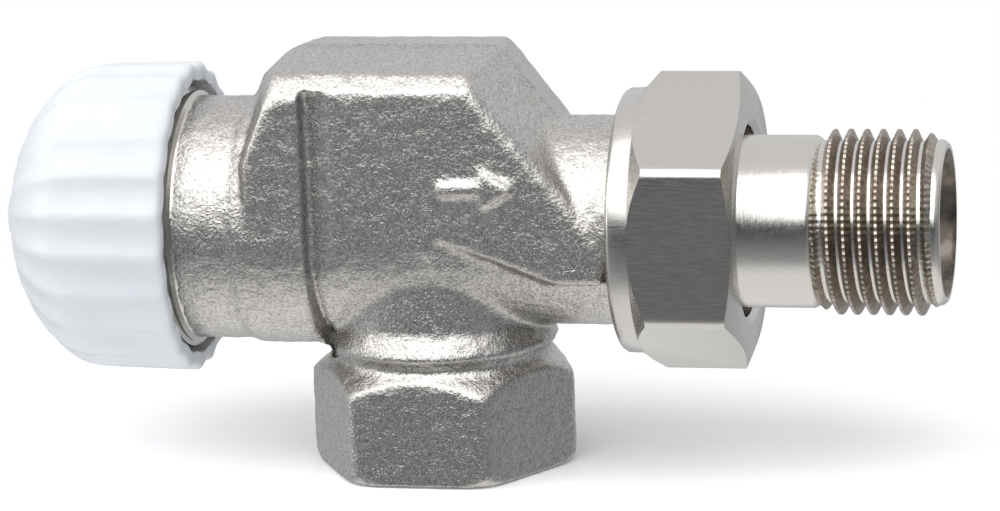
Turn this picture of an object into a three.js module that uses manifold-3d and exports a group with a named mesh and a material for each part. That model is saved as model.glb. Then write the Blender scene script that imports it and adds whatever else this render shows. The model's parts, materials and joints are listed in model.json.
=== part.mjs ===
// Thermostatic radiator valve, reverse-angle (axial) pattern, DN15, with its protective cap.
// Millimetres, +Z up. The origin is the centre of the inlet hexagon's lower face. The main axis runs
// along X at the height AXIS_Z: the cap and the valve insert are on the -X side, the union on the +X side.
import * as THREE from 'three';
import { mergeVertices } from 'three/addons/utils/BufferGeometryUtils.js';
import Module from 'manifold-3d';

const wasm = await Module();
wasm.setup();

// ---- driving dimensions ----
const AXIS_Z = 28;            // main axis above the inlet face
const SEGMENTS = 40;          // round pieces
const FINE_SEGMENTS = 18;     // small inner pieces
const THREADED_BORE_SEGMENTS = 32;
const GAP = 0.3;              // between pieces that touch on the real object

// body casting
const NECK_R = 13.9;
const NECK_FACE_X = -33;      // where a thermostatic head seats
const HEAD_THREAD_R = 15;     // M30 x 1.5
const HEAD_THREAD_PITCH = 1.5;
const BELLY_R = 14.1;
const PLATE_Y = 13.5;         // flat front and back faces
const DOME_TOP = 20.1;        // above the main axis, on the parting line
const OUTLET_TUBE_R = 11.8;
const BODY_END_X = 29;
const UNION_THREAD_R = 13.2;  // G 3/4
const UNION_PITCH = 1.814;
const BOSS_R = 13.1;          // round part between belly and inlet hexagon
const INLET_AF = 27;
const INLET_TOP_Z = 11.5;     // hexagon's upper face, above the origin
const INLET_BORE_R = 9.3;     // Rp 1/2 crests
const INLET_ROOT_R = 10.45;
const INLET_DEPTH = 13.5;
const PIPE_PITCH = 1.814;     // R 1/2 and Rp 1/2
const SEAT_X = -8;            // face of the seat lip
const SEAT_R = 5;
const CHAMBER_R = 10;
const INSERT_BORE_R = 10.2;
const RISER_X = 2;            // vertical passage above the inlet
const RISER_R = 7;
const OUTLET_BORE_R = 7.9;
const PASSAGE_HALF_Y = 6.5;

// cap
const CAP_MOUTH_X = -27.86;
const CAP_FLUTES = 23;
const CAP_FLUTE_DEPTH = 0.55;
const CAP_THREAD_CLEAR_R = 15.2;
const CAP_MOUTH_R = 15.72;

// union
const NUT_LEFT_X = 22.1;
const NUT_RIGHT_X = 36.3;
const NUT_AF = 30;
const NUT_COLLAR_R = 15;
const NUT_BORE_R = 10.83;
const NUT_THREAD_CLEAR_R = 13.35;
const TAIL_PIPE_R = 9.7;
const TAIL_END_X = 58.4;
const TAIL_THREAD_X = 44.5;
const TAIL_CREST_R = 10.48;   // R 1/2
const TAIL_FLANGE_X = 30.6;

// insert
const HOUSING_R = 9.9;
const HOUSING_HEX_AF = 19;
const STEM_R = 6.5;
const SPINDLE_R = 2.4;
const PIN_R = 2;
const PIN_TIP_X = -47.7;      // valve open; 11.7 mm beyond the neck face when closed
const SPRING_TURNS = 5;

// ---- geometry helpers ----
function clean(geometry) {
  const bare = geometry.clone();
  for (const name of Object.keys(bare.attributes)) {
    if (name !== 'position') bare.deleteAttribute(name);
  }
  const merged = mergeVertices(bare, 1e-4);
  const source = merged.index.array;
  const kept = [];
  for (let i = 0; i < source.length; i += 3) {
    const [a, b, c] = [source[i], source[i + 1], source[i + 2]];
    if (a !== b && b !== c && a !== c) kept.push(a, b, c);
  }
  merged.setIndex(kept);
  return merged;
}

function signedVolume(geometry) {
  const p = geometry.attributes.position;
  const index = geometry.index.array;
  const [a, b, c] = [new THREE.Vector3(), new THREE.Vector3(), new THREE.Vector3()];
  let total = 0;
  for (let i = 0; i < index.length; i += 3) {
    a.fromBufferAttribute(p, index[i]);
    b.fromBufferAttribute(p, index[i + 1]);
    c.fromBufferAttribute(p, index[i + 2]);
    total += a.dot(b.cross(c)) / 6;
  }
  return total;
}

function outward(geometry) {
  const tidy = clean(geometry);
  if (signedVolume(tidy) < 0) {
    const flipped = [];
    const index = tidy.index.array;
    for (let i = 0; i < index.length; i += 3) flipped.push(index[i], index[i + 2], index[i + 1]);
    tidy.setIndex(flipped);
  }
  return tidy;
}

function solid(geometry) {
  const tidy = outward(geometry);
  return new wasm.Manifold(new wasm.Mesh({
    numProp: 3,
    vertProperties: new Float32Array(tidy.attributes.position.array),
    triVerts: new Uint32Array(tidy.index.array),
  }));
}

function toGeometry(manifold) {
  const mesh = manifold.getMesh();
  const geometry = new THREE.BufferGeometry();
  geometry.setAttribute('position', new THREE.BufferAttribute(new Float32Array(mesh.vertProperties), 3));
  geometry.setIndex(new THREE.BufferAttribute(new Uint32Array(mesh.triVerts), 1));
  return geometry;
}

const join = (...parts) => wasm.Manifold.union(parts);

// A closed profile of [x, r] pairs turned about the X axis.
function revolve(profile, segments = SEGMENTS) {
  const points = profile.map(([x, r]) => new THREE.Vector2(r, x));
  const geometry = new THREE.LatheGeometry(points, segments);
  geometry.rotateZ(-Math.PI / 2);
  return geometry;
}

// The same about a vertical axis, from [z, r] pairs.
function revolveUpright(profile, segments = SEGMENTS) {
  const points = profile.map(([z, r]) => new THREE.Vector2(r, z));
  const geometry = new THREE.LatheGeometry(points, segments);
  geometry.rotateX(Math.PI / 2);
  return geometry;
}

// A flat ring or sleeve.
function ring(x0, x1, inner, outer, segments = SEGMENTS) {
  return revolve([[x0, inner], [x1, inner], [x1, outer], [x0, outer], [x0, inner]], segments);
}

function rod(x0, x1, radius, segments = SEGMENTS) {
  return revolve([[x0, 0], [x0, radius], [x1, radius], [x1, 0]], segments);
}

function torus(x, centreR, tubeR) {
  const geometry = new THREE.TorusGeometry(centreR, tubeR, 6, FINE_SEGMENTS);
  geometry.rotateY(Math.PI / 2);
  geometry.translate(x, 0, 0);
  return geometry;
}

// A hexagonal bar along X with two corners straight up and down.
function hexBar(acrossFlats, x0, x1) {
  const geometry = new THREE.CylinderGeometry(acrossFlats / Math.sqrt(3), acrossFlats / Math.sqrt(3), x1 - x0, 6);
  geometry.rotateY(Math.PI / 6);
  geometry.rotateZ(-Math.PI / 2);
  geometry.rotateX(Math.PI / 6);
  geometry.translate((x0 + x1) / 2, 0, 0);
  return geometry;
}

// Thread crests and roots as rings: [x, r] pairs from x0 towards x1.
function threadProfile(x0, x1, pitch, crestR, rootR) {
  const turns = Math.floor((x1 - x0) / pitch);
  const points = [];
  for (let i = 0; i < turns; i++) {
    points.push([x0 + i * pitch, rootR], [x0 + (i + 0.5) * pitch, crestR]);
  }
  points.push([x0 + turns * pitch, rootR]);
  return points;
}

// A prism from an outline of [x, z] pairs, standing from y0 to y1.
function prism(outline, y0, y1) {
  const shape = new THREE.Shape(outline.map(([x, z]) => new THREE.Vector2(x, z)));
  const geometry = new THREE.ExtrudeGeometry(shape, { depth: y1 - y0, bevelEnabled: false });
  geometry.rotateX(Math.PI / 2);
  geometry.translate(0, y1, 0);
  return geometry;
}

// ---- body casting ----
// Outlines of the domed block in the XZ plane, heights from the main axis.
const PARTING_OUTLINE = [
  [-22.4, -6], [-22.6, 12.6], [-21.2, 15.2], [-19.2, 17.6], [-16.6, 19.4], [-13.6, DOME_TOP],
  [5.2, DOME_TOP], [7.8, 19.3], [9.8, 17.8], [12.6, 14.3], [15.2, 11.2], [17.5, 6], [17.5, -1], [12, -6],
];
const SHOULDER_OUTLINE = [
  [-20.6, -6], [-20.6, 12], [-19.4, 14.9], [-17.6, 17.1], [-15.2, 18.5], [-12.6, 18.9],
  [6.2, 18.9], [8.4, 17.8], [10.2, 15.9], [14.6, 10.2], [18.6, 4.6], [20.6, 1.4], [20.4, -1], [12, -6],
];
const PLATE_OUTLINE = [
  [-19, -5], [-19, 11.6], [-18.2, 14.1], [-16.6, 15.9], [-14.4, 16.8], [6.6, 16.9],
  [8.6, 16], [10.4, 13.6], [17.4, 4.6], [19.4, 1.8], [19, 0], [11, -4.6],
];
const SHOULDER_Y = 11.5;
const PLATE_EDGE_Y = 12.9;

function domeBlock() {
  const points = [];
  const insetOutline = PLATE_OUTLINE.map(([x, z]) => [x + Math.sign(x + 3) * 0.7, z + (z > 0 ? 0.7 : -0.6)]);
  for (const side of [-1, 1]) {
    for (const [x, z] of PARTING_OUTLINE) points.push([x, 0, z]);
    for (const [x, z] of SHOULDER_OUTLINE) points.push([x, side * SHOULDER_Y, z]);
    for (const [x, z] of insetOutline) points.push([x, side * PLATE_EDGE_Y, z]);
    for (const [x, z] of PLATE_OUTLINE) points.push([x, side * PLATE_Y, z]);
  }
  return wasm.Manifold.hull(points);
}

// Neck with the M30 thread for a head, belly, outlet tube and union thread, all turned about X.
function axialOutside() {
  const headThread = threadProfile(NECK_FACE_X + 0.2, NECK_FACE_X + 4.8, HEAD_THREAD_PITCH, HEAD_THREAD_R, 14.1);
  const unionThread = threadProfile(23.9, 28.9, UNION_PITCH, UNION_THREAD_R, 12.1);
  return revolve([
    [NECK_FACE_X, 0], [NECK_FACE_X, 14.1], ...headThread, [-28.4, 14.5], [-27.7, 14.5], [-27.3, NECK_R],
    [-20, NECK_R], [-19, BELLY_R], [4, BELLY_R], [8, 12.6], [11, OUTLET_TUBE_R], [23.4, OUTLET_TUBE_R],
    ...unionThread, [BODY_END_X - 0.3, 12.1], [BODY_END_X, 11.8], [BODY_END_X, 0],
  ]);
}

function inletHexagon() {
  const corner = INLET_AF / Math.sqrt(3);
  const hex = new THREE.CylinderGeometry(corner, corner, INLET_TOP_Z, 6);
  hex.rotateX(Math.PI / 2);
  hex.rotateZ(Math.PI / 6);
  hex.rotateZ(Math.PI / 3);
  hex.translate(0, 0, INLET_TOP_Z / 2);
  const envelope = revolveUpright([
    [0, 0], [0, 13.2], [0.9, corner + 0.1], [9.8, corner + 0.1], [INLET_TOP_Z, 13.4], [INLET_TOP_Z, 0],
  ]);
  return solid(hex).intersect(solid(envelope)).translate([0, 0, -AXIS_Z]);
}

function inletBoss() {
  const low = INLET_TOP_Z - AXIS_Z;
  return solid(revolveUpright([
    [low - 1, 0], [low - 1, 12.9], [low + 0.9, 12.3], [low + 2.4, 12.3], [low + 4, BOSS_R], [2, BOSS_R], [2, 0],
  ]));
}

// Flow direction arrow, raised on the front plate.
function flowArrow() {
  const outline = [[3, 5.4], [9, 5.4], [9, 4], [13, 6.2], [9, 8.4], [9, 7], [3, 7]];
  return solid(prism(outline, -PLATE_Y - 0.45, -PLATE_Y + 0.5));
}

// The pad beside the neck is parted from the front and back plates by an upright groove.
function padGrooves() {
  const cutter = (side) => wasm.Manifold.hull([-3.5, 17.5].flatMap((z) => [
    [-12.3, side * (PLATE_Y + 0.1), z], [-10.9, side * (PLATE_Y + 0.1), z], [-11.6, side * (PLATE_Y - 0.7), z],
  ]));
  return join(cutter(-1), cutter(1));
}

function inletPassage() {
  const rings = threadProfile(0.9, 11.9, PIPE_PITCH, INLET_BORE_R, INLET_ROOT_R);
  return solid(revolveUpright([
    [-1, 0], [-1, INLET_ROOT_R + 0.7], [0, INLET_ROOT_R + 0.5], [0.9, INLET_BORE_R], ...rings,
    [INLET_DEPTH, INLET_BORE_R], [INLET_DEPTH + 2.2, RISER_R], [INLET_DEPTH + 2.2, 0],
  ], THREADED_BORE_SEGMENTS)).translate([0, 0, -AXIS_Z]);
}

function riser() {
  const low = INLET_DEPTH - AXIS_Z;
  return solid(revolveUpright([
    [low, 0], [low, RISER_R], [3.5, RISER_R], [5.6, RISER_R - 2.4], [6, 0],
  ], 32)).translate([RISER_X, 0, 0]);
}

function crossover() {
  const outline = [
    [-17.5, 4], [-17.5, 14], [-14.6, 16.4], [4.6, 16.4], [7.4, 14.6], [14.8, 5.6], [14.8, 1], [11.9, 1],
    [11.9, 5.4], [9.4, 8.7], [-8.2, 8.7], [-8.2, 4],
  ];
  return solid(prism(outline, -PASSAGE_HALF_Y, PASSAGE_HALF_Y));
}

function axialInside() {
  return join(
    solid(revolve([
      [NECK_FACE_X - 1, 0], [NECK_FACE_X - 1, 11.2], [NECK_FACE_X + 0.8, 11.2], [NECK_FACE_X + 1.6, INSERT_BORE_R],
      [-21, INSERT_BORE_R], [-20.6, CHAMBER_R], [SEAT_X + 0.6, CHAMBER_R], [SEAT_X + 0.6, SEAT_R + 1],
      [SEAT_X, SEAT_R + 0.8], [SEAT_X, 0],
    ])),
    solid(rod(SEAT_X - 0.5, RISER_X - 2, SEAT_R)),
    solid(rod(11.9, BODY_END_X + 1, OUTLET_BORE_R)),
  );
}

function valveBody() {
  return join(solid(axialOutside()), domeBlock(), inletHexagon(), inletBoss(), flowArrow())
    .subtract(join(padGrooves(), inletPassage(), riser(), crossover(), axialInside()));
}

// ---- protective cap ----
const CAP_OUTSIDE = [
  [CAP_MOUTH_X, 17.2], [-28.5, 17.9], [-39.4, 17.6], [-40.7, 17.1], [-41.8, 16.1], [-43.1, 14.5],
  [-44.5, 12.5], [-45.6, 10.5], [-46.6, 8.7], [-48, 6.9], [-49, 4.8], [-50.2, 2.4], [-50.75, 0],
];
const CAP_INSIDE = [
  [CAP_MOUTH_X + 1, 0], [CAP_MOUTH_X + 1, CAP_MOUTH_R], [-29.3, CAP_MOUTH_R], [-29.9, CAP_THREAD_CLEAR_R], [-36, CAP_THREAD_CLEAR_R],
  [-36.8, 14.2], [-40.2, 14.2], [-42.2, 12.3], [-44.2, 9.6], [-46.2, 6.6], [-47.5, 4.2], [-47.8, 2.9],
  [-49.1, 2.9], [-49.1, 0],
];

// Concave flutes: the surface dips between sharp ridges, dying out at the rim and towards the nose.
function fluteGeometry(geometry) {
  const p = geometry.attributes.position;
  for (let i = 0; i < p.count; i++) {
    const [x, y, z] = [p.getX(i), p.getY(i), p.getZ(i)];
    const radius = Math.hypot(y, z);
    if (radius < 6 || x > -28.2) continue;
    const phase = (Math.atan2(z, y) / (2 * Math.PI)) * CAP_FLUTES;
    const dip = Math.abs(Math.sin(phase * Math.PI));
    const fade = Math.min(1, (radius - 6) / 6);
    const scale = 1 - (CAP_FLUTE_DEPTH * dip * fade) / radius;
    p.setXYZ(i, x, y * scale, z * scale);
  }
  return geometry;
}

function protectiveCap() {
  const profile = [[CAP_MOUTH_X, 0], ...CAP_OUTSIDE];
  const outside = fluteGeometry(clean(revolve(profile, CAP_FLUTES * 3)));
  return solid(outside).subtract(solid(revolve(CAP_INSIDE)));
}

// ---- union ----
function unionNut() {
  const corner = NUT_AF / Math.sqrt(3) + 0.1;
  const envelope = revolve([
    [NUT_LEFT_X, 0], [NUT_LEFT_X, 14.3], [NUT_LEFT_X + 0.7, NUT_COLLAR_R], [24.6, NUT_COLLAR_R], [26.7, corner],
    [35.2, corner], [NUT_RIGHT_X, 14.5], [NUT_RIGHT_X, 0],
  ]);
  const blank = join(solid(rod(NUT_LEFT_X, 25.5, NUT_COLLAR_R)), solid(hexBar(NUT_AF, 24.6, NUT_RIGHT_X)));
  const grooves = threadProfile(NUT_LEFT_X + 0.9, 31, UNION_PITCH, 13.95, NUT_THREAD_CLEAR_R);
  const inside = revolve([
    [NUT_LEFT_X - 1, 0], [NUT_LEFT_X - 1, 13.9], [NUT_LEFT_X, 13.9], [NUT_LEFT_X + 0.6, NUT_THREAD_CLEAR_R],
    ...grooves, [33.4, NUT_THREAD_CLEAR_R], [33.4, NUT_BORE_R], [NUT_RIGHT_X - 0.5, NUT_BORE_R],
    [NUT_RIGHT_X, 11.4], [NUT_RIGHT_X + 1, 11.4], [NUT_RIGHT_X + 1, 0],
  ]);
  return blank.intersect(solid(envelope)).subtract(solid(inside));
}

function tailPiece() {
  const thread = threadProfile(TAIL_THREAD_X + 0.3, TAIL_THREAD_X + 13.1, PIPE_PITCH, TAIL_CREST_R - 0.08, 9.3);
  const pipe = solid(revolve([
    [TAIL_FLANGE_X, OUTLET_BORE_R], [TAIL_FLANGE_X, 12.4], [TAIL_FLANGE_X + 0.3, 12.7], [33, 12.7],
    [33.1, TAIL_PIPE_R], [TAIL_THREAD_X, TAIL_PIPE_R], ...thread, [57.9, 9.45], [TAIL_END_X, 9.1],
    [TAIL_END_X, 8.3], [58, OUTLET_BORE_R], [TAIL_FLANGE_X, OUTLET_BORE_R],
  ]));
  const lugs = [-1, 1].map((side) => {
    const lug = new THREE.BoxGeometry(6, 3, 1.9);
    lug.translate(50, 0, side * 7.5);
    return solid(lug);
  });
  return join(pipe, ...lugs);
}

// ---- valve insert ----
function insertHousing() {
  const outside = solid(revolve([
    [NECK_FACE_X - GAP, 0], [NECK_FACE_X - GAP, HOUSING_R - 0.4], [NECK_FACE_X + 1.2, HOUSING_R],
    [-25.4, HOUSING_R], [-25.2, 8.3], [-23.2, 8.3], [-23, HOUSING_R], [-22.6, HOUSING_R], [-22.6, 0],
  ]));
  const head = solid(hexBar(HOUSING_HEX_AF, -36.2, NECK_FACE_X - GAP + 0.1));
  const bevel = solid(revolve([[-36.2, 0], [-36.2, 9.6], [-35.6, 11.1], [-20, 11.1], [-20, 0]]));
  const inside = revolve([
    [-37, 0], [-37, 6.8], [-31.2, 6.8], [-31.1, 7.9], [-29.2, 7.9], [-29.1, 6.8], [-28.2, 6.8], [-28.1, 7.9],
    [-26.2, 7.9], [-26.1, 6.8], [-22, 6.8], [-22, 0],
  ]);
  return join(outside, head).intersect(bevel).subtract(solid(inside));
}

// The tube that carries the dial outside and the throttling skirt with its two windows inside.
function presettingStem() {
  const tube = solid(revolve([
    [-40.5, 4.7], [-40.5, 6.3], [-40.3, STEM_R], [-39.9, STEM_R], [-39.9, 6], [-39, 6], [-39, STEM_R],
    [-22.3, STEM_R], [-22.3, 8.6], [-8.7, 8.6], [-8.7, 7.4], [-21.2, 7.4], [-21.2, 2.65], [-23, 2.65],
    [-23, 4.7], [-40.5, 4.7],
  ], 32));
  const window = (angle, width) => {
    const cutter = new THREE.BoxGeometry(8.2, 6, width);
    cutter.translate(-14.3, 8, 0);
    cutter.rotateX(angle);
    return solid(cutter);
  };
  return tube.subtract(join(window(Math.PI / 2, 7), window(-Math.PI / 2, 3.4)));
}

function presettingDial() {
  const teeth = 14;
  const disc = solid(ring(-39, -36.5, 6.8, 9.2, 42));
  const notches = [];
  for (let i = 0; i < teeth; i++) {
    const notch = new THREE.CylinderGeometry(0.6, 0.6, 2, 6);
    notch.rotateZ(Math.PI / 2);
    notch.translate(-38.6, 0, 9.4);
    notch.rotateX((i / teeth) * 2 * Math.PI);
    notches.push(solid(notch));
  }
  return disc.subtract(join(...notches));
}

function glandScrew() {
  const turned = solid(rod(-42.5, -36.4, 4.4, FINE_SEGMENTS));
  const head = solid(hexBar(10, -42.6, -40.9));
  const inside = revolve([
    [-43, 0], [-43, 2.2], [-40.1, 2.2], [-40, 3.4], [-38.2, 3.4], [-38.1, 2.2], [-36, 2.2], [-36, 0],
  ], FINE_SEGMENTS);
  return join(turned, head).subtract(solid(inside));
}

function pressurePin() {
  return revolve([
    [PIN_TIP_X, 0], [PIN_TIP_X + 0.1, 1], [PIN_TIP_X + 0.6, 1.8], [PIN_TIP_X + 1.2, PIN_R], [-33.3, PIN_R], [-33.3, 0],
  ], FINE_SEGMENTS);
}

function spindle() {
  return revolve([
    [-33, 0], [-33, SPINDLE_R], [-32.5, SPINDLE_R], [-32.5, 1.8], [-31.8, 1.8], [-31.8, SPINDLE_R],
    [-15.7, SPINDLE_R], [-15.7, 1.6], [-9, 1.6], [-9, 0],
  ], FINE_SEGMENTS);
}

function returnSpring() {
  const [x0, x1] = [-30.1, -23.9];
  const stepsPerTurn = 12;
  const steps = SPRING_TURNS * stepsPerTurn;
  const points = [];
  for (let i = 0; i <= steps; i++) {
    const angle = (i / stepsPerTurn) * 2 * Math.PI;
    points.push(new THREE.Vector3(x0 + ((x1 - x0) * i) / steps, 3.6 * Math.cos(angle), 3.6 * Math.sin(angle)));
  }
  const path = new THREE.CatmullRomCurve3(points);
  const wire = new THREE.Shape();
  wire.absarc(0, 0, 0.42, 0, 2 * Math.PI);
  return new THREE.ExtrudeGeometry(wire, { steps, curveSegments: 3, bevelEnabled: false, extrudePath: path });
}

function plugNut() {
  return solid(hexBar(5.6, -10.8, -9.3)).subtract(solid(rod(-12, -8, 1.9, FINE_SEGMENTS)));
}

// ---- materials ----
const MATERIALS = {
  nickel_cast: () => new THREE.MeshStandardMaterial({ color: 0xb4b2ad, metalness: 1, roughness: 0.45 }),
  nickel_turned: () => new THREE.MeshStandardMaterial({ color: 0xc9c6c0, metalness: 1, roughness: 0.2 }),
  cap_plastic: () => new THREE.MeshStandardMaterial({ color: 0xeef1f4, roughness: 0.4 }),
  brass: () => new THREE.MeshStandardMaterial({ color: 0xc9a25a, metalness: 1, roughness: 0.3 }),
  stainless: () => new THREE.MeshStandardMaterial({ color: 0xbfc2c4, metalness: 1, roughness: 0.25 }),
  seal_rubber: () => new THREE.MeshStandardMaterial({ color: 0x1b1b1c, roughness: 0.8 }),
  dial_plastic: () => new THREE.MeshStandardMaterial({ color: 0xd8d5c8, roughness: 0.5 }),
};

// ---- assembly ----
const PIECES = [
  ['valve_body', valveBody, 'nickel_cast'],
  ['protective_cap', protectiveCap, 'cap_plastic'],
  ['cap_thrust_disc', () => rod(-49, -48.1, 2.6, FINE_SEGMENTS), 'brass'],
  ['union_nut', unionNut, 'nickel_turned'],
  ['tail_piece', tailPiece, 'nickel_turned'],
  ['union_gasket', () => ring(29.3, 30.3, 8.4, 12.3), 'seal_rubber'],
  ['insert_housing', insertHousing, 'brass'],
  ['insert_o_ring', () => torus(-24.2, 9.2, 0.62), 'seal_rubber'],
  ['stem_o_ring_outer', () => torus(-30.15, 7.25, 0.48), 'seal_rubber'],
  ['stem_o_ring_inner', () => torus(-27.15, 7.25, 0.48), 'seal_rubber'],
  ['presetting_stem', presettingStem, 'brass'],
  ['presetting_dial', presettingDial, 'dial_plastic'],
  ['dial_snap_ring', () => torus(-39.45, 6.38, 0.3), 'stainless'],
  ['gland_screw', glandScrew, 'brass'],
  ['gland_o_ring', () => torus(-39.1, 2.78, 0.42), 'seal_rubber'],
  ['pressure_pin', pressurePin, 'stainless'],
  ['spindle', spindle, 'stainless'],
  ['spindle_circlip', () => ring(-32.4, -31.95, 2.1, 3.5, FINE_SEGMENTS), 'stainless'],
  ['spring_seat', () => ring(-31.6, -30.9, 2.7, 4.4, FINE_SEGMENTS), 'brass'],
  ['return_spring', returnSpring, 'stainless'],
  ['valve_plug', () => ring(-15.4, -13.4, 1.9, 6.9, 32), 'brass'],
  ['seat_seal', () => ring(-13.1, -11.1, 1.9, 6.4, 32), 'seal_rubber'],
  ['plug_nut', plugNut, 'brass'],
];

const valve = new THREE.Group();
valve.name = 'thermostatic_radiator_valve';
for (const [name, build, materialName] of PIECES) {
  const shape = build();
  const geometry = shape instanceof wasm.Manifold ? toGeometry(shape) : outward(shape);
  geometry.translate(0, 0, AXIS_Z);
  const mesh = new THREE.Mesh(geometry, MATERIALS[materialName]());
  mesh.name = name;
  mesh.material.name = materialName;
  valve.add(mesh);
}

export default valve;
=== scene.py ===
# %% [markdown]
# # A thermostatic radiator valve, dressed for its portrait
# The object is a reverse-angle radiator valve: a sand-cast, nickel-plated body with a hexagon for the supply
# pipe below, a union nut and threaded tail on the right, and on the left a white cap that covers the valve
# insert until a thermostatic head is fitted. The CAD model is loaded first and stays as the fixed frame. Every
# piece that is made here goes where the frame says, in metres, +Z up.

# %% Load the frame
import json
import math

import bpy
from mathutils import Matrix, Vector

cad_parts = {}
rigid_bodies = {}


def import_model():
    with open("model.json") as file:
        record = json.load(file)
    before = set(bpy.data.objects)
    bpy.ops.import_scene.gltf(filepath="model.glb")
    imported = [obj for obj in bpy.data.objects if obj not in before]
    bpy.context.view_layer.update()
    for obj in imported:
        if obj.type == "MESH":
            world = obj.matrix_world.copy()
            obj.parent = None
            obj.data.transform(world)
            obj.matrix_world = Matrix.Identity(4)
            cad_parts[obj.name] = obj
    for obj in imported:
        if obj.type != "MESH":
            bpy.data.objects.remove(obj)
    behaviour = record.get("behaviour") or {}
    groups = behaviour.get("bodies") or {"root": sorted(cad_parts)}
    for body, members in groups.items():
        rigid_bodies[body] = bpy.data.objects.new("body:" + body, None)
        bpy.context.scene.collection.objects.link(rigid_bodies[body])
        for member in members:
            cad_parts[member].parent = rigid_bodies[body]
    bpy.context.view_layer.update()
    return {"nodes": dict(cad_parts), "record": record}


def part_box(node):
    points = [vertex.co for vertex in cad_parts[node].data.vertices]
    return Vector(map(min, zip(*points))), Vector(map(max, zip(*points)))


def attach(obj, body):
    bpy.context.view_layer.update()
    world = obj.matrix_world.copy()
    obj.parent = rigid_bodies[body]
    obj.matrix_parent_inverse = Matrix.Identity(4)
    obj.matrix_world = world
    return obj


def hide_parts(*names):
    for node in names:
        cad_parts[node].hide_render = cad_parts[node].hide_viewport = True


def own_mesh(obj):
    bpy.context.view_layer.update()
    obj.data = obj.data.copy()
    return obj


for leftover in list(bpy.data.objects):
    bpy.data.objects.remove(leftover)
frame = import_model()
MM = 0.001
AXIS_Z = (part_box("tail_piece")[0].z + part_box("tail_piece")[1].z) / 2

# %% [markdown]
# ## Tools for the bench
# Modelling by operators means that each step acts on what is selected. These helpers keep that honest: one makes
# an object the only selected one, one picks vertices by a rule about their place, and one applies a modifier.

# %% Selection and modifier helpers
def alone(piece):
    if bpy.context.object and bpy.context.object.mode != "OBJECT":
        bpy.ops.object.mode_set(mode="OBJECT")
    bpy.ops.object.select_all(action="DESELECT")
    piece.select_set(True)
    bpy.context.view_layer.objects.active = piece
    return piece


def edit(piece, rule=None):
    """Opens a piece in edit mode with only the vertices that fit the rule selected, or all of them."""
    alone(piece)
    for v in piece.data.vertices:
        v.select = rule is None or bool(rule(v.co))
    for part in list(piece.data.edges) + list(piece.data.polygons):
        part.select = all(piece.data.vertices[i].select for i in part.vertices)
    bpy.ops.object.mode_set(mode="EDIT")
    bpy.ops.mesh.select_mode(type="VERT")


def edit_edges(piece, rule):
    """The same for edges: the rule is asked about the middle of each edge and its direction."""
    edit(piece, lambda co: False)
    bpy.ops.mesh.select_mode(type="EDGE")
    bpy.ops.object.mode_set(mode="OBJECT")
    for edge in piece.data.edges:
        a, b = (piece.data.vertices[i].co for i in edge.vertices)
        edge.select = bool(rule((a + b) / 2, (b - a).normalized()))
    bpy.ops.object.mode_set(mode="EDIT")


def edit_faces(piece, rule):
    """The same for faces: the rule is asked about the centre of each face and its normal."""
    edit(piece, lambda co: False)
    bpy.ops.mesh.select_mode(type="FACE")
    bpy.ops.object.mode_set(mode="OBJECT")
    for face in piece.data.polygons:
        face.select = bool(rule(face.center, face.normal))
    bpy.ops.object.mode_set(mode="EDIT")


def finish_edit(piece):
    bpy.ops.object.mode_set(mode="OBJECT")
    return piece


def modify(piece, kind, **settings):
    """Adds a modifier, sets it and applies it at once."""
    alone(piece)
    bpy.ops.object.modifier_add(type=kind)
    modifier = piece.modifiers[-1]
    for key, value in settings.items():
        setattr(modifier, key, value)
    bpy.ops.object.modifier_apply(modifier=modifier.name)
    return piece


def combine(piece, other, operation):
    """A boolean with a second object, which is used up."""
    modify(piece, "BOOLEAN", operation=operation, object=other, solver="EXACT", material_mode="TRANSFER")
    bpy.data.meshes.remove(other.data)
    return piece


def face_outwards(piece, merge=1e-7):
    edit(piece)
    bpy.ops.mesh.remove_doubles(threshold=merge)
    bpy.ops.mesh.normals_make_consistent(inside=False)
    return finish_edit(piece)


def smooth_above(piece, degrees):
    alone(piece)
    bpy.ops.object.shade_smooth_by_angle(angle=math.radians(degrees))
    return piece


# %% [markdown]
# Most of the valve is turned on a lathe, so the bench has a lathe too. It adds a circle, then extrudes it from
# ring to ring along the outline and scales each new ring to its radius, which is how a turned part is drawn by
# hand. An outline that ends where it began makes a sleeve, any other is closed by a disc at each end.

# %% The lathe
def turned(name, outline, sides=96, upright=False, centre_x=0.0):
    """Outline in mm: (place along the axis, radius). The axis is the valve's main one, or upright through centre_x."""
    sleeve = outline[0] == outline[-1]
    (start, radius), rest = outline[0], outline[1:]
    place = (centre_x * MM, 0, start * MM) if upright else (start * MM, 0, AXIS_Z)
    turn = (0, 0, 0) if upright else (0, math.pi / 2, 0)
    bpy.ops.object.select_all(action="DESELECT")
    bpy.ops.mesh.primitive_circle_add(
        vertices=sides, radius=radius * MM, location=place, rotation=turn,
        fill_type="NOTHING" if sleeve else "NGON")
    piece = bpy.context.object
    piece.name = name
    bpy.ops.object.transform_apply(location=True, rotation=True, scale=True)
    bpy.ops.object.mode_set(mode="EDIT")
    bpy.ops.mesh.select_mode(type="EDGE")
    bpy.ops.mesh.select_all(action="SELECT")
    for (here, r_here), (there, r_there) in zip(outline, rest):
        step = (there - here) * MM
        ratio = r_there / r_here
        bpy.ops.mesh.extrude_edges_move(
            TRANSFORM_OT_translate={"value": (0, 0, step) if upright else (step, 0, 0)})
        bpy.ops.transform.resize(
            value=(ratio, ratio, 1) if upright else (1, ratio, ratio),
            center_override=(centre_x * MM, 0, 0) if upright else (0, 0, AXIS_Z))
    if not sleeve:
        bpy.ops.mesh.edge_face_add()
    finish_edit(piece)
    return face_outwards(piece)


# %% [markdown]
# A thread is a ridge wound round the turned part. The ridge's cross-section is a small plane with its outer edge
# narrowed, and the Screw modifier winds it: one pitch further for each turn. A boolean then joins it to the part,
# so the finished piece is one clean solid.

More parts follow.
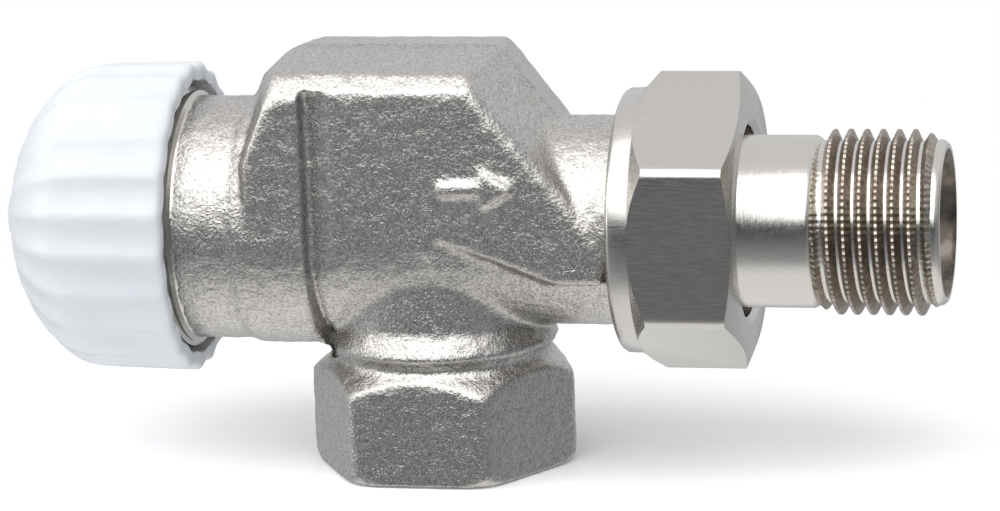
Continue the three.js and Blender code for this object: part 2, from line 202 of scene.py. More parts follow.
# %% The thread cutter
def ridge(name, first_x, turns, pitch, root_r, crest_r, crest_width, steps=64):
    """A helical ridge in mm, closed at both ends, that sinks a little into the part that it is joined to."""
    base_r = root_r - 0.25 if crest_r > root_r else root_r + 0.25
    depth = abs(crest_r - base_r)
    bpy.ops.object.select_all(action="DESELECT")
    bpy.ops.mesh.primitive_plane_add(size=1, location=(first_x * MM, 0, AXIS_Z), rotation=(math.pi / 2, 0, 0))
    piece = bpy.context.object
    piece.name = name
    bpy.ops.object.transform_apply(location=False, rotation=True, scale=True)
    edit(piece)
    bpy.ops.transform.resize(value=(pitch * 0.97 * MM, 1, depth * MM), center_override=(first_x * MM, 0, AXIS_Z))
    bpy.ops.transform.translate(value=(0, 0, (crest_r + base_r) / 2 * MM))
    finish_edit(piece)
    outside = crest_r > root_r
    middle = (crest_r + base_r) / 2 * MM
    edit(piece, lambda co: (co.z > middle) == outside)
    bpy.ops.transform.resize(value=(crest_width / (pitch * 0.97), 1, 1), center_override=(first_x * MM, 0, AXIS_Z))
    finish_edit(piece)
    steps = round(steps * turns)
    modify(piece, "SCREW", axis="X", angle=2 * math.pi * turns, screw_offset=pitch * turns * MM, steps=steps,
           render_steps=steps, use_merge_vertices=False, use_normal_calculate=True)
    alone(piece)
    bpy.ops.object.transform_apply(location=True, rotation=True, scale=True)
    edit(piece, lambda co: False)
    bpy.ops.mesh.select_mode(type="EDGE")
    bpy.ops.mesh.select_non_manifold()
    bpy.ops.mesh.fill_holes(sides=8)
    finish_edit(piece)
    return face_outwards(piece)


print("bench ready:", turned.__name__, ridge.__name__)


# %% [markdown]
# ## Camera
# A small valve is photographed with a long lens from about half a metre, a little from the right and from above,
# and the camera is not quite level. The camera's axes are worked out from those three angles.

# %% Set up the camera
CAMERA_AZIMUTH, CAMERA_ELEVATION, CAMERA_ROLL = 12.29, 12.76, 2.13
CAMERA_DISTANCE = 533.4 * MM
CAMERA_SIDE, CAMERA_DROP = 7.21 * MM, 4.28 * MM
azimuth, elevation, roll = (math.radians(a) for a in (CAMERA_AZIMUTH, CAMERA_ELEVATION, CAMERA_ROLL))
towards_camera = Vector((math.sin(azimuth) * math.cos(elevation), -math.cos(azimuth) * math.cos(elevation),
                         math.sin(elevation)))
level_right = Vector((math.cos(azimuth), math.sin(azimuth), 0))
level_down = -towards_camera.cross(level_right)
right = level_right * math.cos(roll) + level_down * math.sin(roll)
down = level_down * math.cos(roll) - level_right * math.sin(roll)

camera_data = bpy.data.cameras.new("camera")
camera_data.lens = 168.5
camera_data.clip_start = 0.01
camera = bpy.data.objects.new("camera", camera_data)
bpy.context.collection.objects.link(camera)
turn = Matrix((right, -down, towards_camera)).transposed().to_4x4()
place = Vector((0, 0, AXIS_Z)) + towards_camera * CAMERA_DISTANCE + right * CAMERA_SIDE + down * CAMERA_DROP
camera.matrix_world = Matrix.Translation(place) @ turn
bpy.context.scene.camera = camera
print("camera at", [round(c, 3) for c in place])

# %% [markdown]
# ## Studio
# Bright metal shows what stands around it rather than its own colour. One wide softbox above and in front gives
# the white edges, and the room round the valve is dim at the height of the horizon and paler overhead, which is
# what makes the upright faces look dark and the top look silver grey. The room is the world's background: only
# the camera sees it white, as if it had been lit for a catalogue. The floor is a pale disc that fades out at its
# rim, so that it has no edge in any view.

# %% The softbox and the room
def area_light(name, location, aim, size, power, tint=(1, 1, 1)):
    bpy.ops.object.select_all(action="DESELECT")
    bpy.ops.object.light_add(type="AREA", location=location)
    light = bpy.context.object
    light.name = name
    light.data.shape = "RECTANGLE"
    light.data.size, light.data.size_y = size
    light.data.energy = power
    light.data.color = tint
    light.rotation_euler = (Vector(aim) - Vector(location)).to_track_quat("-Z", "Y").to_euler()
    return light


area_light("front_softbox", (-0.1, -0.52, 0.62), (0, 0, AXIS_Z), (1.5, 1.05), 8.6)
area_light("left_softbox", (-0.75, -0.1, 0.25), (0, 0, AXIS_Z), (0.35, 0.5), 1.2)


def linear(hex_colour):
    parts = [int(hex_colour[i:i + 2], 16) / 255 for i in (1, 3, 5)]
    return [c / 12.92 if c <= 0.04045 else ((c + 0.055) / 1.055) ** 2.4 for c in parts] + [1.0]


def node(holder, kind, values=None, **settings):
    """Adds a node to a material or world. A value is a number, a colour, or another node's output to link."""
    made = holder.node_tree.nodes.new(kind)
    for key, value in settings.items():
        setattr(made, key, value)
    for socket, value in (values or {}).items():
        if isinstance(value, bpy.types.NodeSocket):
            holder.node_tree.links.new(value, made.inputs[socket])
        else:
            made.inputs[socket].default_value = value
    return made


def ramp(holder, factor, *stops):
    """A colour ramp with (position, colour) stops."""
    made = node(holder, "ShaderNodeValToRGB", {"Fac": factor})
    elements = made.color_ramp.elements
    while len(elements) < len(stops):
        elements.new(0.5)
    for element, (position, colour) in zip(elements, stops):
        element.position, element.color = position, linear(colour)
    return made.outputs["Color"]


room = bpy.data.worlds.new("studio_room")
bpy.context.scene.world = room
room.use_nodes = True
direction = node(room, "ShaderNodeTexCoord").outputs["Generated"]
in_room = node(room, "ShaderNodeSeparateXYZ", {0: direction}).outputs
from_floor = node(room, "ShaderNodeMapRange", {"Value": in_room["Z"], "From Min": -1.0}).outputs["Result"]
grey_side = node(room, "ShaderNodeMapRange", {"Value": in_room["X"], "From Min": 0.6, "From Max": 0.98, "To Max": 0.85},
                 interpolation_type="SMOOTHSTEP").outputs["Result"]
dim_side = ramp(room, node(room, "ShaderNodeMapRange", {"Value": in_room["Y"], "From Min": -1.0}).outputs["Result"],
                (0.12, "#ffffff"), (0.35, "#000000"), (0.8, "#000000"), (1.0, "#3a3a3a"))
pale_walls = ramp(room, from_floor, (0.1, "#ffffff"), (0.22, "#b8babc"), (0.5, "#ced0d2"), (0.6, "#e6e7e8"),
                  (0.8, "#ececee"))
dim_walls = ramp(room, from_floor, (0.07, "#ffffff"), (0.16, "#a4a5a7"), (0.3, "#8c8d8f"), (0.38, "#737477"),
                 (0.5, "#48494c"), (0.57, "#3c3d40"), (0.66, "#c6c9cc"), (0.8, "#e8eaec"))
side_walls = node(room, "ShaderNodeMix", {"Factor": grey_side, "A": pale_walls, "B": linear("#7f858c")},
                  data_type="RGBA").outputs["Result"]
walls = node(room, "ShaderNodeMix", {"Factor": dim_side, "A": side_walls, "B": dim_walls},
             data_type="RGBA").outputs["Result"]
catalogue_white = node(room, "ShaderNodeMix", {"Factor": node(room, "ShaderNodeLightPath").outputs["Is Camera Ray"],
                                               "A": walls, "B": linear("#ffffff")}, data_type="RGBA")
room.node_tree.links.new(catalogue_white.outputs["Result"], room.node_tree.nodes["Background"].inputs["Color"])
bpy.context.scene.view_settings.view_transform = "Standard"

# %% The floor
FLOOR_RADIUS = 0.4
bpy.ops.object.select_all(action="DESELECT")
bpy.ops.mesh.primitive_circle_add(vertices=64, radius=FLOOR_RADIUS, fill_type="NGON", location=(0, 0, -0.0003))
floor = bpy.context.object
floor.name = "floor"
bpy.ops.object.transform_apply(location=True, rotation=True, scale=True)
pale_floor = bpy.data.materials.new("matt_white_card")
pale_floor.use_nodes = True
card = pale_floor.node_tree.nodes["Principled BSDF"]
card.inputs["Base Color"].default_value = linear("#fdfdfd")
card.inputs["Roughness"].default_value = 0.95
card.inputs["Specular IOR Level"].default_value = 0.0
spot = node(pale_floor, "ShaderNodeTexCoord").outputs["Object"]
from_middle = node(pale_floor, "ShaderNodeVectorMath", {0: spot}, operation="LENGTH").outputs["Value"]
fade = node(pale_floor, "ShaderNodeMapRange", {"Value": from_middle, "From Min": 0.05, "From Max": 0.115,
                                               "To Min": 1.0, "To Max": 0.0}, interpolation_type="SMOOTHSTEP")
seen_in_gloss = node(pale_floor, "ShaderNodeLightPath").outputs["Is Glossy Ray"]
shown = node(pale_floor, "ShaderNodeMath", {0: 1.0, 1: seen_in_gloss}, operation="SUBTRACT").outputs[0]
opacity = node(pale_floor, "ShaderNodeMath", {0: fade.outputs["Result"], 1: shown}, operation="MULTIPLY").outputs[0]
pale_floor.node_tree.links.new(opacity, card.inputs["Alpha"])
floor.data.materials.append(pale_floor)

# %% [markdown]
# ## Finishes
# Each material is named for what the real one is. Colours are written as they look on a screen and turned into
# the linear values that light is worked out with. Patterns are scaled from real sizes: noise of scale 1000 / s
# changes about once every s millimetres.

# %% A new finish
def per_mm(size):
    return 1000 / size


def new_material(name, roughness, metallic=0.0, colour="#808080"):
    """A Principled surface, with Object coordinates to hand: returns the material, its shader and the coordinates."""
    material = bpy.data.materials.new(name)
    material.use_nodes = True
    shader = material.node_tree.nodes["Principled BSDF"]
    shader.inputs["Base Color"].default_value = linear(colour)
    shader.inputs["Metallic"].default_value = metallic
    shader.inputs["Roughness"].default_value = roughness
    place = node(material, "ShaderNodeTexCoord").outputs["Object"]
    return material, shader, place


def wire(material, output, shader, socket):
    material.node_tree.links.new(output, shader.inputs[socket])


# %% [markdown]
# Nickel plate on sand-cast gunmetal: the mould's sand leaves grains of about a third of a millimetre all over,
# which the thin bright plating follows, so the surface glitters. Wider unevenness comes from the mould itself.
# Two sizes of noise make the height, and the smaller one also dulls the plating in the pits and darkens its colour
# there, a painted shade in the pits.

# %% Cast nickel
cast_nickel, shader, place = new_material("nickel_plated_sand_casting", 0.2, 1.0, "#b4b1ad")
grains_with_pit_shade = node(cast_nickel, "ShaderNodeTexNoise", {"Vector": place, "Scale": per_mm(0.36), "Detail": 3.0,
                                                 "Roughness": 0.65}).outputs["Fac"]
patches = node(cast_nickel, "ShaderNodeTexNoise", {"Vector": place, "Scale": per_mm(2.2), "Detail": 1.0}).outputs["Fac"]
height = node(cast_nickel, "ShaderNodeMath", {0: patches, 1: 0.6, 2: grains_with_pit_shade}, operation="MULTIPLY_ADD").outputs[0]
bump = node(cast_nickel, "ShaderNodeBump", {"Strength": 0.95, "Distance": 0.13 * MM, "Height": height})
rough = node(cast_nickel, "ShaderNodeMapRange", {"Value": grains_with_pit_shade, "From Min": 0.3, "From Max": 0.7, "To Min": 0.3,
                                                 "To Max": 0.17})
# The base colour follows the grains and is darker where they sink: painted shade in the pits.
wire(cast_nickel, ramp(cast_nickel, grains_with_pit_shade, (0.34, "#aaa7a3"), (0.56, "#cfccc8")), shader, "Base Color")
wire(cast_nickel, rough.outputs["Result"], shader, "Roughness")
wire(cast_nickel, bump.outputs["Normal"], shader, "Normal")

# %% [markdown]
# Nickel plate on turned brass: the tool leaves fine rings round the axis. Noise stretched across the axis gives
# rings about 0.15 mm apart, twice as coarse as the tool leaves them so that they show. The thread's ridge is coloured
# darker and warmer, a painted shade and warm reflection, and the bores dark, a painted shade inside them; both are also
# duller.

# %% Turned nickel, the thread's flanks and the bores
turned_nickel, shader, place = new_material("nickel_plated_turned_brass", 0.2, 1.0, "#d2cfca")
along = node(turned_nickel, "ShaderNodeMapping", {"Vector": place, "Scale": (1, 0.02, 0.02)}).outputs[0]
rings = node(turned_nickel, "ShaderNodeTexNoise", {"Vector": along, "Scale": per_mm(0.3), "Detail": 3.0}).outputs["Fac"]
pits = node(turned_nickel, "ShaderNodeTexNoise", {"Vector": place, "Scale": per_mm(0.45), "Detail": 3.0,
                                                  "Roughness": 0.7}).outputs["Fac"]
height = node(turned_nickel, "ShaderNodeMath", {0: rings, 1: 1.6, 2: pits}, operation="MULTIPLY_ADD").outputs[0]
bump = node(turned_nickel, "ShaderNodeBump", {"Strength": 0.28, "Distance": 0.03 * MM, "Height": height})
rough = node(turned_nickel, "ShaderNodeMapRange", {"Value": pits, "From Min": 0.3, "From Max": 0.7, "To Min": 0.17,
                                                   "To Max": 0.28})
wire(turned_nickel, rough.outputs["Result"], shader, "Roughness")
wire(turned_nickel, bump.outputs["Normal"], shader, "Normal")

# The ridge's darker, warm base colour is painted shade and a painted warm reflection; the wear noise only varies it.
thread_nickel_painted_shade, shader, place = new_material("thread_nickel_painted_warm_shade", 0.3, 1.0, "#a89f94")
wear = node(thread_nickel_painted_shade, "ShaderNodeTexNoise", {"Vector": place, "Scale": per_mm(0.6), "Detail": 3.0}).outputs["Fac"]
bump = node(thread_nickel_painted_shade, "ShaderNodeBump", {"Strength": 0.3, "Distance": 0.04 * MM, "Height": wear})
wire(thread_nickel_painted_shade, ramp(thread_nickel_painted_shade, wear, (0.35, "#958a7e"), (0.65, "#bdb5ab")), shader, "Base Color")
wire(thread_nickel_painted_shade, bump.outputs["Normal"], shader, "Normal")

# The bores' dark base colour is painted shade inside them; the stains noise varies it at random.
bore_nickel_painted_shade, shader, place = new_material("dull_nickel_with_painted_bore_shade", 0.4, 1.0, "#6f675f")
stains = node(bore_nickel_painted_shade, "ShaderNodeTexNoise", {"Vector": place, "Scale": per_mm(2), "Detail": 3.0}).outputs["Fac"]
wire(bore_nickel_painted_shade, ramp(bore_nickel_painted_shade, stains, (0.35, "#58514b"), (0.65, "#857c73")), shader, "Base Color")

# %% [markdown]
# The nut's flats are drawn bar: faint scratches run along X, and the plating is duller than on the turned faces.
# The scratches are noise stretched ten times along the axis, about 0.2 mm apart, coarser than the real ones.

# %% Drawn nickel
drawn_nickel, shader, place = new_material("nickel_plated_drawn_bar", 0.24, 1.0, "#cdcac6")
along = node(drawn_nickel, "ShaderNodeMapping", {"Vector": place, "Scale": (0.1, 1, 1)}).outputs[0]
scratches = node(drawn_nickel, "ShaderNodeTexNoise", {"Vector": along, "Scale": per_mm(0.22), "Detail": 3.0,
                                                      "Roughness": 0.65}).outputs["Fac"]
specks = node(drawn_nickel, "ShaderNodeTexNoise", {"Vector": place, "Scale": per_mm(0.5), "Detail": 3.0,
                                                   "Roughness": 0.7}).outputs["Fac"]
height = node(drawn_nickel, "ShaderNodeMath", {0: scratches, 1: 1.5, 2: specks}, operation="MULTIPLY_ADD").outputs[0]
bump = node(drawn_nickel, "ShaderNodeBump", {"Strength": 0.1, "Distance": 0.02 * MM, "Height": height})
rough = node(drawn_nickel, "ShaderNodeMapRange", {"Value": scratches, "From Min": 0.3, "From Max": 0.7,
                                                  "To Min": 0.2, "To Max": 0.32})
wire(drawn_nickel, rough.outputs["Result"], shader, "Roughness")
wire(drawn_nickel, bump.outputs["Normal"], shader, "Normal")

# %% [markdown]
# White polypropylene, injection moulded: a soft semi-gloss with a hint of blue, a little light passes into it,
# and the skin has a faint ripple from the way the melt flowed.

# %% Cap plastic
cap_plastic, shader, place = new_material("white_polypropylene", 0.34, 0.0, "#d8dce0")
ripple = node(cap_plastic, "ShaderNodeTexNoise", {"Vector": place, "Scale": per_mm(5), "Detail": 2.0})
skin = node(cap_plastic, "ShaderNodeTexNoise", {"Vector": place, "Scale": per_mm(0.35), "Detail": 2.0})
height = node(cap_plastic, "ShaderNodeMath", {0: skin.outputs["Fac"], 1: 0.12, 2: ripple.outputs["Fac"]},
              operation="MULTIPLY_ADD")
bump = node(cap_plastic, "ShaderNodeBump", {"Strength": 0.25, "Distance": 0.1 * MM, "Height": height.outputs[0]})
tone = node(cap_plastic, "ShaderNodeMix", {"Factor": ripple.outputs["Fac"], "A": linear("#ccd0d5"),
                                           "B": linear("#d9dce0")}, data_type="RGBA")
shader.inputs["Subsurface Weight"].default_value = 0.12
shader.inputs["Subsurface Radius"].default_value = (1, 1, 1)
shader.inputs["Subsurface Scale"].default_value = 1.2 * MM
wire(cap_plastic, tone.outputs["Result"], shader, "Base Color")
wire(cap_plastic, bump.outputs["Normal"], shader, "Normal")

# %% [markdown]
# The pieces inside are plain engineering materials: turned brass, ground stainless steel, moulded EPDM rubber
# and a pale acetal dial. They show when the cap comes off, so each gets its own grain too.

# %% Inner materials
brass, shader, place = new_material("turned_brass", 0.24, 1.0, "#c8a562")
along = node(brass, "ShaderNodeMapping", {"Vector": place, "Scale": (1, 0.02, 0.02)})
rings = node(brass, "ShaderNodeTexNoise", {"Vector": along.outputs[0], "Scale": per_mm(0.15), "Detail": 2.0})
stain = node(brass, "ShaderNodeTexNoise", {"Vector": place, "Scale": per_mm(3), "Detail": 3.0})
bump = node(brass, "ShaderNodeBump", {"Strength": 0.25, "Distance": 0.03 * MM, "Height": rings.outputs["Fac"]})
tone = node(brass, "ShaderNodeMix", {"Factor": stain.outputs["Fac"], "A": linear("#b8924f"), "B": linear("#d8b874")},
            data_type="RGBA")
wire(brass, tone.outputs["Result"], shader, "Base Color")
wire(brass, bump.outputs["Normal"], shader, "Normal")

stainless, shader, place = new_material("ground_stainless_steel", 0.22, 1.0, "#c4c6c8")
along = node(stainless, "ShaderNodeMapping", {"Vector": place, "Scale": (1, 0.03, 0.03)})
rings = node(stainless, "ShaderNodeTexNoise", {"Vector": along.outputs[0], "Scale": per_mm(0.1), "Detail": 2.0})
bump = node(stainless, "ShaderNodeBump", {"Strength": 0.2, "Distance": 0.02 * MM, "Height": rings.outputs["Fac"]})
rough = node(stainless, "ShaderNodeMapRange", {"Value": rings.outputs["Fac"], "To Min": 0.16, "To Max": 0.3})
wire(stainless, rough.outputs["Result"], shader, "Roughness")
wire(stainless, bump.outputs["Normal"], shader, "Normal")

rubber, shader, place = new_material("moulded_epdm", 0.55, 0.0, "#1d1d1e")
grain = node(rubber, "ShaderNodeTexNoise", {"Vector": place, "Scale": per_mm(0.3), "Detail": 3.0})
bump = node(rubber, "ShaderNodeBump", {"Strength": 0.3, "Distance": 0.03 * MM, "Height": grain.outputs["Fac"]})
rough = node(rubber, "ShaderNodeMapRange", {"Value": grain.outputs["Fac"], "To Min": 0.45, "To Max": 0.7})
wire(rubber, rough.outputs["Result"], shader, "Roughness")
wire(rubber, bump.outputs["Normal"], shader, "Normal")

dial_plastic, shader, place = new_material("acetal_dial", 0.45, 0.0, "#ddd9cb")
grain = node(dial_plastic, "ShaderNodeTexNoise", {"Vector": place, "Scale": per_mm(0.5), "Detail": 3.0})
bump = node(dial_plastic, "ShaderNodeBump", {"Strength": 0.2, "Distance": 0.04 * MM, "Height": grain.outputs["Fac"]})
tone = node(dial_plastic, "ShaderNodeMix", {"Factor": grain.outputs["Fac"], "A": linear("#d3cebd"),
                                            "B": linear("#e4e0d3")}, data_type="RGBA")
wire(dial_plastic, tone.outputs["Result"], shader, "Base Color")
wire(dial_plastic, bump.outputs["Normal"], shader, "Normal")

FINISH_OF_SLOT = {"nickel_cast": cast_nickel, "nickel_turned": turned_nickel, "cap_plastic": cap_plastic,
                  "brass": brass, "stainless": stainless, "seal_rubber": rubber, "dial_plastic": dial_plastic}
slot_of_node = {part["node"]: part["material_slot"] for part in frame["record"]["subparts"]}
for name, piece in frame["nodes"].items():
    finish = FINISH_OF_SLOT[slot_of_node[name]]
    for slot in piece.material_slots:
        slot.material = finish
print("finishes on", len(frame["nodes"]), "CAD nodes")

def finished_as(piece, finish):
    piece.data.materials.clear()
    piece.data.materials.append(finish)
    return piece


def place_on(piece, body, slot, *nodes):
    """Makes a piece ride on its body and hides the CAD nodes that it stands for; the slot is not used."""
    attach(piece, body)
    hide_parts(*nodes)
    return piece

# %% [markdown]
# ## The cast body
# A sand casting is a lump of simple solids that melt into each other. It could be sculpted, but its flats, drafts
# and bores have to stay true, so the solids are modelled one by one, joined by booleans, remeshed into one even
# skin and smoothed until the inner corners are the soft fillets that a moulder would leave. The first solid is the
# block over the valve seat: a box that saw cuts turn into two flat plates with sloping shoulders and broken
# rims, drafted towards the parting line at y = 0, where the two halves of the mould met.

# %% Saw cuts
def slice_off(piece, normal, offset):
    """Cuts away and caps all that lies beyond a plane: normal . (x, y, height above the main axis) = offset in mm."""
    normal = Vector(normal)
    on_plane = normal * (offset / normal.length_squared) * MM + Vector((0, 0, AXIS_Z))
    edit(piece)
    bpy.ops.mesh.bisect(plane_co=on_plane, plane_no=normal.normalized(), use_fill=True, clear_outer=True)
    return finish_edit(piece)


def box(name, low, high):
    """A box between two corners in mm, its heights counted from the main axis."""
    low, high = (Vector(p) * MM + Vector((0, 0, AXIS_Z)) for p in (low, high))
    bpy.ops.object.select_all(action="DESELECT")
    bpy.ops.mesh.primitive_cube_add(size=1, location=(low + high) / 2, scale=high - low)
    piece = bpy.context.object
    piece.name = name
    bpy.ops.object.transform_apply(location=True, rotation=True, scale=True)
    return piece


def sliced_both_ways(piece, *planes):
    """The same cuts on the front half and, mirrored, on the back half."""
    for (x, y, z), offset in planes:
        slice_off(piece, (x, y, z), offset)
        if y:
            slice_off(piece, (x, -y, z), offset)
    return piece


body = sliced_both_ways(
    box("cast_body", (-22.6, -13.5, -4.9), (21.4, 13.5, 20.1)),
    ((0, 0.1, 1), 20.1), ((0.789, 0.159, 0.614), 18.7), ((-1, 0.26, 0), 22.6), ((-0.67, 0.08, 0.74), 25.3),
    ((-0.93, 0.24, 0.37), 24.25), ((0.12, 1, 0), 14.5),
    ((-0.36, 0, 0.933), 23.95), ((0.44, 0, 0.9), 21.25), ((0, 0.707, 0.707), 21.6), ((0, 0.4, 0.917), 22.3),
    ((-0.456, 0.735, 0.503), 25.3), ((0.57, 0.727, 0.385), 20.3))
slice_off(body, (-0.32, 0, -0.947), 0.9)
for side in (-1, 1):
    underside = box("underside", (2.4, min(10 * side, 16 * side), -12), (22, max(10 * side, 16 * side), 3))
    slice_off(underside, (0.29, -0.45 * side, 0.84), -4.84)
    combine(body, underside, "DIFFERENCE")
left_pad = sliced_both_ways(
    box("left_pad", (-22.3, -14.25, -1.1), (-11.8, 14.25, 18.6)),
    ((-1, 0.26, 0), 22.5), ((-0.67, 0.08, 0.74), 25.2), ((-0.93, 0.24, 0.37), 24.15), ((0, 0.707, 0.707), 21.8),
    ((-0.456, 0.735, 0.503), 25.4))
combine(body, left_pad, "UNION")
print("block:", len(body.data.polygons), "faces")

# %% [markdown]
# The rest is turned: the neck for the cap, the belly round the insert, the tube to the union, and the upright boss
# that flares over the inlet. The hexagon is a six-sided bar with softened corners inside a turned cone.

# %% The round parts and the hexagon
HEX_CORNER = 27 / math.sqrt(3)
round_parts = [
    turned("neck", [(-28.2, 13.9), (-19, 13.9)]),
    turned("pad", [(-20.9, 13.9), (-20.4, 14.35), (-12.2, 14.35), (-11.7, 13.3)]),
    turned("belly", [(-12.5, 13.4), (0.8, 13.4), (3.4, 12.9), (9.5, 12), (16, 11.8)]),
    turned("tube", [(2, 11.85), (23.6, 11.85)]),
    turned("boss", [(11.4, 13), (12.4, 12.75), (13.1, 12.5), (13.8, 12.9), (14.4, 13.6), (15.3, 13.2), (17, 12.35),
                    (30, 12.2)], upright=True),
]
bpy.ops.object.select_all(action="DESELECT")
bpy.ops.mesh.primitive_cylinder_add(vertices=6, radius=HEX_CORNER * MM, depth=13.4 * MM,
                                    location=(0, 0, 5.7 * MM), rotation=(0, 0, math.radians(30)))
hexagon = bpy.context.object
hexagon.name = "inlet_hexagon"
bpy.ops.object.transform_apply(location=True, rotation=True, scale=True)
edit_edges(hexagon, lambda middle, direction: abs(direction.z) > 0.9)
bpy.ops.mesh.bevel(offset=0.6 * MM, segments=3, affect="EDGES")
finish_edit(hexagon)
combine(hexagon, turned("hexagon_cone", [(-1, 13.9), (0, 14.6), (1, 15.9), (9.9, 15.9), (12.4, 12.85)],
                        upright=True), "INTERSECT")
for part in round_parts + [hexagon]:
    combine(body, part, "UNION")
print("joined casting:", len(body.data.polygons), "faces")

# %% [markdown]
# The left pad is parted from the plates by an upright slot with one steep wall, and the slot runs on round the
# belly as a groove. A plain arrow for the direction of flow stands on the front plate.

# %% The slot, the groove and the arrow
for side in (-1, 1):
    slot = box("slot", (-12.1, min(11.5 * side, 16 * side), -4), (-8.9, max(11.5 * side, 16 * side), 17.1))
    slice_off(slot, (0.3, -0.954 * side, 0), -15.4)
    combine(body, slot, "DIFFERENCE")
groove = turned("groove", [(-12.2, 16), (-11.8, 12.8), (-11.2, 12.8), (-9.8, 16), (-12.2, 16)])
slice_off(groove, (0, 0, 1), -3)
combine(body, groove, "DIFFERENCE")

arrow = box("arrow", (3.4, -14.1, 5.6), (8.8, -12.5, 6.8))
head = box("arrow_head", (8.4, -14.1, 4.2), (12.2, -12.5, 8.2))
slice_off(head, (2, 0, 3.4), 2 * 12 + 3.4 * 6.2)
slice_off(head, (2, 0, -3.4), 2 * 12 - 3.4 * 6.2)
combine(arrow, head, "UNION")
combine(body, arrow, "UNION")

# %% [markdown]
# Now the skin. Voxel Remesh rebuilds the joined solids as one even grid of small quads, Smooth rounds every inner
# and outer corner a little, and a last Displace with cloud noise gives the flats the faint lumps of a mould
# rammed by hand.

# %% The cast skin
VOXEL = 0.37 * MM
modify(body, "REMESH", mode="VOXEL", voxel_size=VOXEL, use_smooth_shade=True)
modify(body, "SMOOTH", factor=0.5, iterations=12)
lumps = bpy.data.textures.new("mould_lumps", type="CLOUDS")
lumps.noise_scale = 1.3 * MM
lumps.noise_depth = 2
modify(body, "DISPLACE", texture=lumps, texture_coords="LOCAL", strength=0.2 * MM, mid_level=0.5)
edit(body, lambda co: abs(co.y) < 0.3 * MM and co.z > AXIS_Z + 8 * MM and -23 * MM < co.x < 16.5 * MM)
bpy.ops.transform.shrink_fatten(value=0.13 * MM)
finish_edit(body)
print("cast skin:", len(body.data.polygons), "faces")

# %% [markdown]
# The machined places come last, as on the real part: the inlet face is cut flat, the neck gets its M30 x 1.5
# thread for a thermostatic head, the outlet its G 3/4 thread, and the bores run through. Each cutter carries the
# dark bore material, a painted shade inside the bores, which the boolean leaves on the faces that it cuts.

# %% Machined ends
def stand_up(piece):
    """Turns a piece from the main axis onto the inlet's upright one."""
    alone(piece)
    bpy.ops.transform.translate(value=(0, 0, -AXIS_Z))
    piece.rotation_euler = (0, -math.pi / 2, 0)
    bpy.ops.object.transform_apply(location=True, rotation=True, scale=True)
    return piece


finished_as(body, cast_nickel)
slice_off(body, (0, 0, -1), AXIS_Z / MM)
head_end = turned("head_end", [(-33, 13.5), (-32.6, 13.9), (-28.6, 13.9), (-28.4, 14.5), (-27.9, 14.5),
                               (-27.6, 13.95), (-26.5, 13.6)])
combine(head_end, ridge("head_thread", -32.1, 2.6, 1.5, 13.9, 14.95, 0.2), "UNION")
outlet_end = turned("outlet_end", [(22.9, 11.4), (23.4, 11.9), (23.6, 12.1), (28.6, 12.1), (29, 11.7)])
combine(outlet_end, ridge("union_thread", 24.5, 2.2, 1.814, 12.1, 13.15, 0.2), "UNION")
for end in (head_end, outlet_end):
    combine(body, finished_as(end, turned_nickel), "UNION")

# %% Bores
bores = turned("tap", [(-1, 11.5), (0, 10.95), (0.9, 10.2), (1.4, 9.3), (13.5, 9.3), (15.7, 7.2)], upright=True)
combine(bores, stand_up(ridge("tap_thread", 1.2, 6, 1.814, 9.3, 10.4, 0.2)), "UNION")
for bore in (
        turned("riser", [(13, 7), (31.5, 7), (33.6, 4.6), (34, 0.4)], upright=True, centre_x=2),
        turned("insert_bore", [(-34, 11.2), (-32.2, 11.2), (-31.4, 10.2), (-21, 10.2), (-20.6, 10), (-7.4, 10),
                               (-7.4, 6), (-8, 5.8)]),
        turned("seat_bore", [(-8.6, 5), (0, 5)]),
        turned("outlet_bore", [(11.9, 7.9), (30, 7.9)]),
        box("crossover_left", (-17.5, -6.5, 4), (-8.2, 6.5, 14)),
        box("crossover_top", (-15.6, -6.5, 8.7), (5.5, 6.5, 16.3)),
        slice_off(box("crossover_right", (4, -6.5, 1), (14.8, 6.5, 16.3)), (0.78, 0, 0.63), 15.1)):
    combine(bores, bore, "UNION")
slice_off(bores, (1, 0, 0), 40)
combine(body, finished_as(bores, bore_nickel_painted_shade), "DIFFERENCE")
place_on(body, "casting", "nickel_cast", "valve_body")
print("cast body:", len(body.data.polygons), "faces,", [m.name for m in body.data.materials])

# %% [markdown]
# ## The protective cap
# The cap is moulded in one piece, with 23 shallow hollow flutes for the fingers. One flute is a slice of 360 / 23
# degrees: the cap's outline is drawn point by point, spun through that angle in eight steps, and the columns
# between the ridges are scaled towards the axis. A spin that duplicates repeats the slice all the way round.

# %% One flute
FLUTES, COLUMNS = 23, 8
CAP_OUTLINE = [(-50.75, 0), (-50.63, 1.3), (-50.25, 2.6), (-49.65, 3.8), (-49.05, 4.7), (-48.8, 5.5), (-48.6, 6.6),
               (-48.3, 7.8), (-47.85, 9.1), (-47.1, 10.7), (-46, 12.5), (-44.9, 13.9), (-43.8, 15.1), (-42.7, 16),
               (-41.5, 16.8), (-40.2, 17.35), (-38.6, 17.62), (-34, 17.72), (-29, 17.84), (-28.3, 17.8),
               (-27.95, 17.5), (-27.86, 17.1), (-27.86, 16.1), (-28.05, 15.75), (-29.3, 15.7), (-29.9, 15.2),
               (-36, 15.2), (-36.8, 14.2), (-40.2, 14.2), (-42.2, 12.3), (-44.2, 9.6), (-46.2, 6.6), (-47.3, 4.2),
               (-47.6, 2.9), (-49.1, 2.9), (-49.1, 0)]
DIP_OF_COLUMN = {1: 0.3, 2: 0.7, 3: 0.93, 4: 1.0, 5: 0.93, 6: 0.7, 7: 0.3}
RINGS_THAT_DIP = [(6.2, 7.5, 0.25), (7.5, 9.5, 0.6), (9.5, 12, 0.85), (12, 18, 1.0)]
DEEPEST = 0.52 / 17.7


